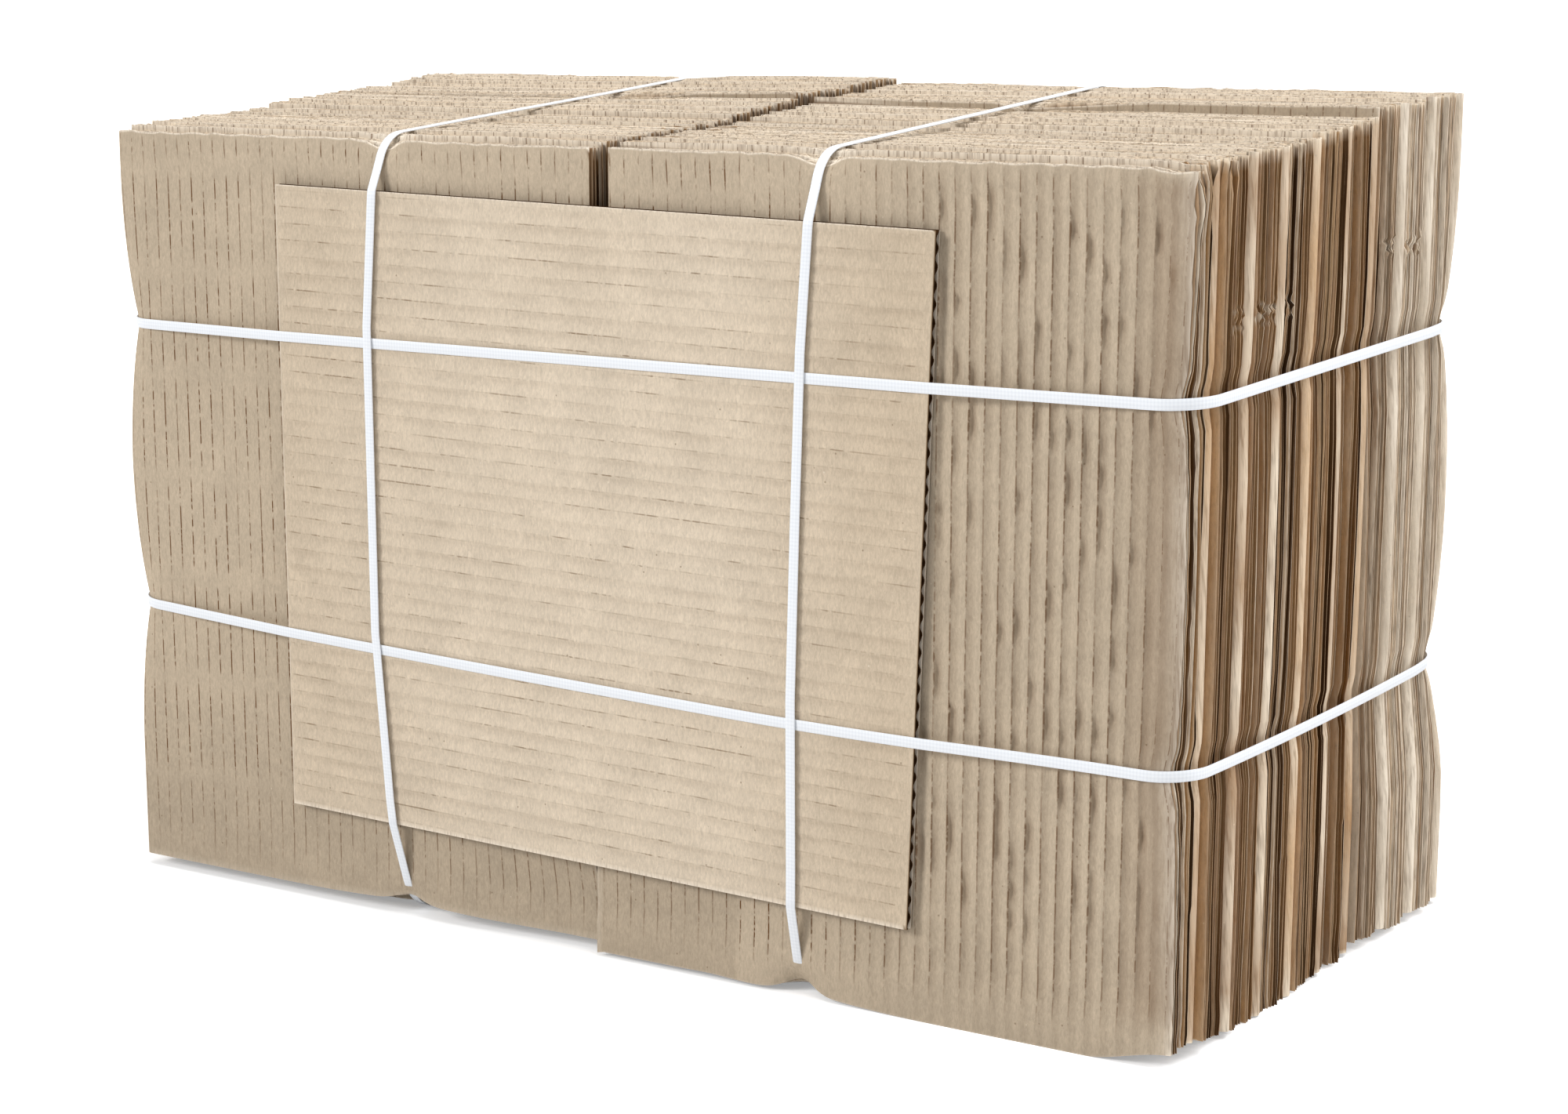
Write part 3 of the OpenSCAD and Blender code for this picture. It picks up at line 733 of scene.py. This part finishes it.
def front_tone(x, z):
    """How pale the front facing is: darker at the lower left and at the pressed right, paler at its top,
    with a painted highlight on the lit slope of each ridge there.
    """
    tone = 0.56 - 0.56 * fade((x - 80) / 160) + 0.15 * ripple(x / 90, z / 90, 72)
    tone = tone - 0.55 * fade((170 - z) / 170) * (x < 80) + 0.2 * fade((z - 270) / 90) * (x > 80)
    # Painted highlight on the lit slope of each pressed ridge
    ridge_highlight = np.interp(x / FLUTE % 1.0, (0, 0.06, 0.3, 0.62, 1), (0.6, 0, 0, 1, 0.6)) * fade((x - 80) / 160)
    return tone + 0.4 * ridge_highlight


# Turns of a paper round the fold, from the front layer to the back one
FOLD_TURNS = np.radians(np.linspace(248, 112, 7))


def folded(front, back, side, round_r, z):
    """Points of a paper, from the cut end of the front layer round the fold to that of the back one."""
    x = np.concatenate([front, FOLD_X + round_r * np.cos(FOLD_TURNS), back])
    y = np.concatenate([np.full(len(front), -side), round_r * np.sin(FOLD_TURNS), np.full(len(back), side)])
    return np.stack(np.broadcast_arrays(x[:, None], y[:, None], z), -1)


def add_papers(sheaf, k, z, draw, tones, hollow_shades):
    """Facing and lining of a box, with slots between the flaps."""
    slot, slit, rear = way(k) * TOP_SLOT_X, way(k) * BOTTOM_SLOT_X, rear_share(k)
    # Paler ends, where the facing is rubbed
    pale_end = draw.uniform(0.4, 0.95) * (draw.uniform(0, 1) < 0.4 + 0.6 * rear or k < 2)
    pale_fold = draw.uniform(0.45, 1.0) * turned(k)
    for is_facing in (True, False):
        paper_t, side, round_r = LINING, LAYER_GAP / 2 + LINING, FOLD_R + LINING
        if is_facing:
            paper_t, side, round_r = FACING, BOX_T / 2, BOX_T / 2
        front, back = stations(k, FACED_STEPS.get(k, ()) if is_facing else ())[::-1], stations(k, ())
        outer = folded(front, back, side, round_r, z)
        inner = folded(front, back, side - paper_t, round_r - paper_t, z)
        x, n = outer[:, :1, 0].copy(), len(front)
        painted_shade, dash = np.zeros(outer.shape[:2]), 0.6 * is_facing * fade((z - BOX_H + 16) / 6) + 0 * x
        if k in FACED_STEPS and is_facing:
            sunk, painted_shade[:n], dash[:n] = washboard(k, outer[:n, :, 0], outer[:n, :, 2])
            outer[:n, :, 1] += sunk
            inner[:n, :, 1] += sunk
        across, high = (x[1:] + x[:-1]) / 2, (z[1:] + z[:-1]) / 2
        cells = ~((np.abs(across - slot) < TOP_SLOT_W / 2) & (high > BOX_H - FLAP_LEN)
                  | (np.abs(across - slit) < BOTTOM_SLOT_W / 2) & (high < FLAP_LEN)
                  | (across < slit) & (high < short_flap(k)))
        tone = draw.uniform(0.0, 1.0) + 0.3 * ripple(z / 50, 3 * k + is_facing, 71)
        if k == 0 and is_facing:
            tone = front_tone(x, z)
        is_back = (np.arange(len(x)) > n + len(FOLD_TURNS) / 2)[:, None]
        hollow = np.where(is_back, *tones[::-1]) + 0.35 * ripple(z / 60, 2 * k + is_back, 73)
        # Painted shade in the hollows of the board, fading out at the top edge
        hollow_shade = np.where(is_back, *hollow_shades[::-1]) + 0.25 * ripple(z / 45, 2 * k + is_back, 74)
        hollow_shade = np.clip(hollow_shade, 0, 0.92) * fade((BOX_H - z - 0.5) / 9)
        # Painted shade inside the slot: its rims are darkened and not frayed, and its walls are shaded
        beside, in_flaps = np.abs(x - slot), z > BOX_H - FLAP_LEN - 1
        shaded_rim = (beside < 7) & in_flaps & (z < BOX_H - 1.5)
        hollow_shade = np.maximum(hollow_shade, 0.95 * ((beside < 14) & in_flaps) * fade((BOX_H - z - 3) / 12))
        # Cut ends are brown, or pale where they are torn, at the rear and on the front box
        end = close_to(END_X - x, 6)
        torn = torn_row(k, z) * np.clip(3 * ripple(z / 1.7, 2 * k + is_facing, 84), 0, 1)
        pale = np.maximum(rear * np.clip(0.75 + 0.7 * ripple(3.3 * k, 7.7 * is_facing, 85), 0.15, 1), torn)
        pale = np.maximum(pale, (k == 0) * ~is_back * end ** 2)
        # The front box and the first tilted one have a plain upper rim
        plain = ~is_back & is_facing & (k in (0, BOX_COUNT - TILTED_COUNT))
        below = z < BOX_H - 3
        rim_share = 1 - 0.8 * plain * below * (x < END_X - 2)
        is_rubbed = pale_end > 0 and is_facing
        rim_share = rim_share - 0.65 * (1 - rear) * (x > END_X - 2) * below * (not is_rubbed)
        fuzz = (pale_end or 0.35) * close_to(END_X - x, 4) + pale_fold * close_to(x - FOLD_X, 9)
        fuzz = fuzz * (0.75 + 0.5 * ripple(z / 30, k, 75)) * is_facing
        # The top edge of each sheet is pale on both sides, partly frayed paper and partly painted light that
        # the top catches; cut ends are pale at the rear, where torn and on the front box
        head = np.maximum(0.85 * fade((z - BOX_H + 6) / 5) * ~plain, pale * end)
        brown = (across > END_X - 9) | turned(k) & (across < FOLD_X + 7)
        brown = brown & ~plain[1:] & (rear < 0.6 or not is_facing)
        sheaf.add_sheet(outer, inner, cells, np.clip(tone, 0, 1), painted_shade, np.clip(hollow, 0, 1), hollow_shade, shaded_rim,
                        np.clip(fuzz, 0, 1), dash, x, head, brown, np.clip(rim_share, 0.2, 1))


def add_waves(sheaf, k, z, draw, tones, hollow_shades):
    """Fluted paper of a box, where it shows: along its edges, at the cut end and in the top slot."""
    slot, slit, rear = way(k) * TOP_SLOT_X, way(k) * BOTTOM_SLOT_X, rear_share(k)
    left, right = slot - TOP_SLOT_W / 2, slot + TOP_SLOT_W / 2
    wave = (BOARD_T - FACING - LINING - MEDIUM) / 2
    show, strip, wall = (6.0, 7.0, 42.0) if k in FACED_STEPS else (12.0, 13.0, 42.0)
    for side, tone, hollow_shade in zip((-1, 1), tones, hollow_shades):
        middle = side * (BOX_T / 2 - FACING - wave - MEDIUM / 2)
        phase, sink, end = draw.uniform(0, 1), draw.uniform(0.1, 0.6), END_X - draw.uniform(0, 1.2)
        common = {"middle": middle, "wave": wave, "phase": phase, "tone": tone}
        # Painted shade deepens inwards from the shown edges of the fluted paper, most in the slot walls and
        # least at the rear
        sheaf.add_flutes((end - show, end), (sink, BOX_H - sink), steps=7, heights=z, cut=(0, 1, 1, 1),
                         dark=(0.3 + 0.65 * hollow_shade) * (1 - 0.6 * rear), fray=0.3 + 0.5 * rear,
                         reach=0.1 + 3 * rear, **common)
        for span in ((FOLD_X, left - show), (right + show, end - show)):
            sheaf.add_flutes(span, (BOX_H - strip, BOX_H - sink), steps=5, heights=z[z > BOX_H - 5],
                             cut=(0, 0, 0, 1), dark=0.1, fray=0.9, reach=3.0, **common)
        for span, cut in (((left - show, left), (0, 1, 0, 1)), ((right, right + show), (1, 0, 0, 1))):
            sheaf.add_flutes(span, (BOX_H - wall, BOX_H - sink), steps=6, heights=z, cut=cut,
                             dark=0.9, fray=0.3, **common)
        for span, foot in (((FOLD_X, slit - BOTTOM_SLOT_W / 2), short_flap(k)),
                           ((slit + BOTTOM_SLOT_W / 2, end - show), 0.0)):
            sheaf.add_flutes(span, (foot + sink, foot + strip), steps=4, heights=(), cut=(0, 0, 1, 0),
                             dark=0.5, fray=0.6, **common)


def flat_box(k):
    """One blank folded in half: facing, fluted paper and lining."""
    sheaf, z = Sheaf(), levels(k)
    draw = np.random.default_rng(700 + k)
    # Tone and painted shade of the hollows of the front and back layer: the rear boxes are paler and less
    # shaded
    rear = rear_share(k)
    tones = draw.uniform(0.2, 0.95, 2) + 0.4 * rear
    hollow_shades = draw.uniform(0.25, 1.0, 2) * (1 - 0.75 * rear)
    add_papers(sheaf, k, z, draw, tones, hollow_shades)
    add_waves(sheaf, k, z, draw, tones, hollow_shades)
    return sheaf.piece(box_name(k), "corrugated_board",
                       lambda p: standing(pinched(squeezed(placed(k, worn(k, p))))), (TEST_LINER, FLUTING))


for k in range(BOX_COUNT):
    flat_box(k)


# Loose front sheet
def on_pad(p):
    """Sheet points, given from the middle of its outer face, in the frame of the bale."""
    x, y, z = p.T
    x = x * (1 + 0.014 * z / (PAD_H / 2)) - 2.2 * fade(x / 180)
    c, s = math.cos(PAD_TURN), math.sin(PAD_TURN)
    return np.stack([x * c + z * s - PAD_X, y - PAD_FRONT, z * c - x * s + PAD_Z + floor_z(-REACH_Y)], 1)


def front_pad():
    """One sheet of board with level flutes: facing, lining and the fluted paper between them."""
    sheaf = Sheaf()
    half_w, half_h = PAD_W / 2, PAD_H / 2
    flutes = np.arange(math.ceil(-half_h / FLUTE), half_h / FLUTE)
    steps = (0, 0.2, 0.45, 0.68, 0.8, 0.92)
    z = spread([FLUTE * (f + u) for f in flutes for u in steps], -half_h, half_h)
    x = [*np.arange(5 - half_w, half_w - 2, 7.7), 0.6 - half_w, half_w - 0.6]
    x = spread(x, -half_w, half_w)[::-1]
    xx, zz = np.meshgrid(x, z, indexing="ij")
    u, flute = zz / FLUTE % 1.0, np.floor(zz / FLUTE)
    run = ripple(xx / 22, flute * 3.7, 61)
    drop = np.interp(u, (*steps, 1), (0, 0.25, 0.6, 1, 0.9, 0.35, 0))
    edge = fade((half_h - np.abs(zz)) / 6) * fade((half_w - np.abs(xx)) / 6)
    sunk = 0.32 * (1 + 0.3 * run) * drop * edge
    short = np.clip(1.5 * (ripple(xx / 8, flute * 2.9, 62) - 0.15), 0, 1)
    # Painted shade on the lower slope of each ripple of the loose sheet
    painted_shade = 0.08 * np.interp(u, (0, 0.45, 0.8, 1), (0, 0.3, 1, 0.6)) * (1 + run) * edge
    dash = np.clip(0.12 + 0.12 * run + 0.7 * short, 0, 0.8) * edge
    tone = 0.7 - 0.5 * fade((-xx - 60) / 130) - 0.68 * fade((xx - 60) / 130)
    tone = tone + 0.12 * ripple(xx / 70, zz / 70, 63)
    cells = np.ones((len(x) - 1, len(z) - 1), bool)
    # The right rim of the facing is painted dark: painted shade for the shadowed edge of the loose sheet
    sheaf.add_sheet(np.stack([xx, sunk, zz], -1), np.stack([xx, sunk + LINING, zz], -1), cells, tone, painted_shade,
                    hollow=0.3, hollow_shade=0.95, shaded_rim=1.3 * (xx > half_w - 1), dash=dash, across=zz)
    n = 20
    xx, zz = np.meshgrid(np.linspace(half_w, -half_w, n), np.linspace(-half_h, half_h, n), indexing="ij")
    full = np.full(xx.shape, PAD_T)
    sheaf.add_sheet(np.stack([xx, full - LINING, zz], -1), np.stack([xx, full, zz], -1),
                    np.ones((n - 1, n - 1), bool), tone=0.5, painted_shade=0.0, hollow=0.3, hollow_shade=0.9)
    wave = (PAD_T - 2 * LINING - MEDIUM) / 2
    rows = [half_w - d for d in (4, 1.5, 0.6)]
    rows = [-x for x in rows[::-1]] + rows
    # The fluted paper of the loose sheet darkens with painted shade in from its cut edges
    sheaf.add_flutes((-half_h, half_h), (0.2 - half_w, half_w - 0.2), PAD_T / 2 + 0.2, wave - 0.2,
                     phase=0.9, steps=8, heights=rows, tone=0.4, cut=(0, 0, 1, 1), dark=0.95, fray=0.15,
                     start=2.0, lay=lambda p: p[:, [2, 1, 0]])
    return sheaf.piece("front_pad", "pad_board", lambda p: standing(on_pad(p)), (PALE_LINER, FLUTING))


front_pad()


# Straps
def hull(points):
    """Outline drawn tight around some points, anticlockwise."""
    points = sorted(set(points))
    rounds = []
    for run in (points, points[::-1]):
        half = []
        for x, y in run:
            while len(half) > 1:
                (ax, ay), (bx, by) = half[-2:]
                if (bx - ax) * (y - ay) > (by - ay) * (x - ax):
                    break
                half.pop()
            half.append((x, y))
        rounds += half[:-1]
    return rounds


def ring(x, y, r, count=72):
    """Points of a circle."""
    turns = np.linspace(0, 2 * math.pi, count, endpoint=False)
    return [(round(x + r * math.cos(t), 4), round(y + r * math.sin(t), 4)) for t in turns]


def strap(node, lines, place):
    """One strap from its closed loop and its welded lap."""
    path = bpy.data.curves.new("path", "CURVE")
    path.dimensions = "3D"
    for points, closed in lines:
        line = path.splines.new("POLY")
        line.points.add(len(points) - 1)
        line.points.foreach_set("co", [v for p in points for v in (p[0], p[1], 0, 1)])
        line.use_cyclic_u = closed
    band, flat = grown(BAND_ON_PATH, path, {
        "Width": STRAP_W, "Thickness": STRAP_T, "Step": 2.5, "Material": STRAPPING})
    band.vertices.foreach_set("co", standing(place(flat)).astype(np.float32).ravel())
    band.update()
    return finished(band, node + "_band", node)


# Middle of a strap, off what it holds
MID = STRAP_CLEAR + STRAP_T / 2
for name, level, slope in zip(("lower_strap", "upper_strap"), LEVEL_Z, LEVEL_SLOPE):
    deep = REACH_Y / math.cos(LEVEL_RISE)
    loop = []
    for sx in (-1, 1):
        for sy in (-1, 1):
            loop += ring(sx * (REACH_X - CORNER_R) + sy * SKEW / 2, sy * (deep - CORNER_R), CORNER_R + MID)
        loop += ring(sx * PAD_W / 2 - PAD_X, -PAD_FRONT / math.cos(LEVEL_RISE), MID, 12)
    lap_y = deep + MID + STRAP_T
    lap = [(WELD_SHIFT + s * WELD_LEN / 2, lap_y) for s in (1, -1)]

    def level_place(p, level=level, slope=slope):
        x, y, z = p.T
        c, s = math.cos(LEVEL_RISE), math.sin(LEVEL_RISE)
        y, z = y * c - z * s, y * s + z * c
        c, s = math.cos(slope), math.sin(slope)
        sag = 1.5 * np.clip(1 - (x / 290) ** 2, 0, 1) * (y < 0) * (slope > 0)
        lift = strap_lift(slope, x, y) - sag
        x = x - BITE * end_share(x)
        corner = fade((x - 280) / 20) * fade((y - 90) / 20)
        x, y = x - corner, y - corner
        return np.stack([x * c + z * s, y, z * c - x * s + level + lift], 1)

    strap(name, ((hull(loop), True), (lap, False)), level_place)

for i, (name, strap_x) in enumerate(zip(("left_strap", "right_strap"), UPRIGHT_X)):
    over = STRAP_T + 2 * STRAP_CLEAR
    foot = (FOOT_R + STRAP_CLEAR + STRAP_T + STRAP_FOOT) / math.cos(LEAN)
    loop = []
    for sign in (-1, 1):
        y = sign * (REACH_Y - FOOT_R)
        loop += ring(y, floor_z(y) + foot, FOOT_R + MID)
    for y, r in ((EDGE_R - REACH_Y, EDGE_R), (REACH_Y - EDGE_R, EDGE_R), (TILT_START, 0)):
        # The strap lies over the rear boxes, which stand higher, and sinks in where they begin
        tip = (floor_z(y) + BOX_H + LIFT_SCATTER + 1.2 * (y > TILT_START + 1)
               + (strap_x + END_X) * math.sin(tilt_at(y)))
        loop += ring(y, tip - r - 3.2 * (r == 0), r + MID)
    for side in (-1, 1):
        edge_z = (PAD_Z + floor_z(-REACH_Y) + side * PAD_H / 2 * math.cos(PAD_TURN)
                  - (strap_x + PAD_X) * math.sin(PAD_TURN))
        loop += ring(-PAD_FRONT - over, edge_z, MID, 12)
    for level, slope in zip(LEVEL_Z, LEVEL_SLOPE):
        crossing = level - strap_x * math.tan(slope) + REACH_Y * math.tan(LEVEL_RISE)
        loop += ring(REACH_Y + over, crossing, MID, 12)

    def upright_place(p, i=i, x=strap_x):
        return np.stack([x + p[:, 2] + wander(i, p[:, 0], p[:, 1]), p[:, 0], p[:, 1]], 1)

    strap(name, ((hull(loop), True),), upright_place)


# Floor, light and camera
def studio_floor():
    """Matt white table paper. It looks white and keeps the shadow of the bale."""
    paper_white = new_material("white_table_paper_matt")
    tree = paper_white.node_tree
    seen = add(tree, "ShaderNodeLightPath").outputs["Is Camera Ray"]
    plain = add(tree, "ShaderNodeBsdfDiffuse", {}, {"Color": linear("#D8D8D8")})
    bright = add(tree, "ShaderNodeBsdfDiffuse", {}, {"Color": linear("#FFFFFF")})
    lift = add(tree, "ShaderNodeEmission", {}, {"Color": linear("#FFFFFF"), "Strength": 0.3})
    shown = add(tree, "ShaderNodeAddShader", {}, {0: bright, 1: lift})
    both = add(tree, "ShaderNodeMixShader", {}, {0: seen, 1: plain, 2: shown})
    add(tree, "ShaderNodeOutputMaterial", {}, {"Surface": both})
    half = 30.0
    mesh = bpy.data.meshes.new("floor")
    corners = [(-half, -half, 0), (half, -half, 0), (half, half, 0), (-half, half, 0)]
    mesh.from_pydata(corners, [], [(0, 1, 2, 3)])
    mesh.materials.append(paper_white)
    floor = bpy.data.objects.new("floor", mesh)
    scene.collection.objects.link(floor)


def soft_light(name, toward, strength, width):
    """A far, wide lamp, so that the floor is lit evenly."""
    lamp = bpy.data.lights.new(name, "SUN")
    lamp.energy, lamp.angle = strength, math.radians(width)
    made = bpy.data.objects.new(name, lamp)
    made.rotation_euler = Vector(toward).to_track_quat("Z", "Y").to_euler()
    scene.collection.objects.link(made)


studio_floor()
soft_light("front_left_softbox", (-0.7, -0.75, 0.6), 1.75, 20)
soft_light("overhead_softbox", (0.3, 0.2, 1.0), 2.3, 50)
soft_light("right_softbox", (1.0, 0.3, 0.45), 1.0, 40)

world = bpy.data.worlds.new("studio")
scene.world = world
world.use_nodes = True
sky = world.node_tree
sky.nodes.clear()
rays = add(sky, "ShaderNodeLightPath").outputs
clear = rays["Is Camera Ray"]
for kind in ("Is Glossy Ray", "Is Transmission Ray"):
    clear = add(sky, "ShaderNodeMath", {"operation": "MAXIMUM"}, {0: clear, 1: rays[kind]})
glow = add(sky, "ShaderNodeMapRange", {}, {"Value": clear, "To Min": 0.42, "To Max": 1.0})
dome = add(sky, "ShaderNodeBackground", {}, {"Color": linear("#FFFFFF"), "Strength": glow})
add(sky, "ShaderNodeOutputWorld", {}, {"Surface": dome})

# Camera worked out from the corners of the bale in the photograph
AZIMUTH, ELEVATION, ROLL = math.radians(36.373), math.radians(15.490), math.radians(-2.986)
lens = bpy.data.cameras.new("camera")
lens.sensor_width, lens.lens = 36.0, 79.49
lens.shift_x, lens.shift_y = 0.0115, 0.0805
lens.clip_start, lens.clip_end = 0.05, 100.0
camera = bpy.data.objects.new("camera", lens)
camera.matrix_world = (
    Matrix.Translation((0.9865, -1.3417, 0.5609)) @ Matrix.Rotation(AZIMUTH, 4, "Z")
    @ Matrix.Rotation(math.pi / 2 - ELEVATION, 4, "X") @ Matrix.Rotation(ROLL, 4, "Z"))
scene.collection.objects.link(camera)
scene.camera = camera
scene.view_settings.view_transform = "Standard"
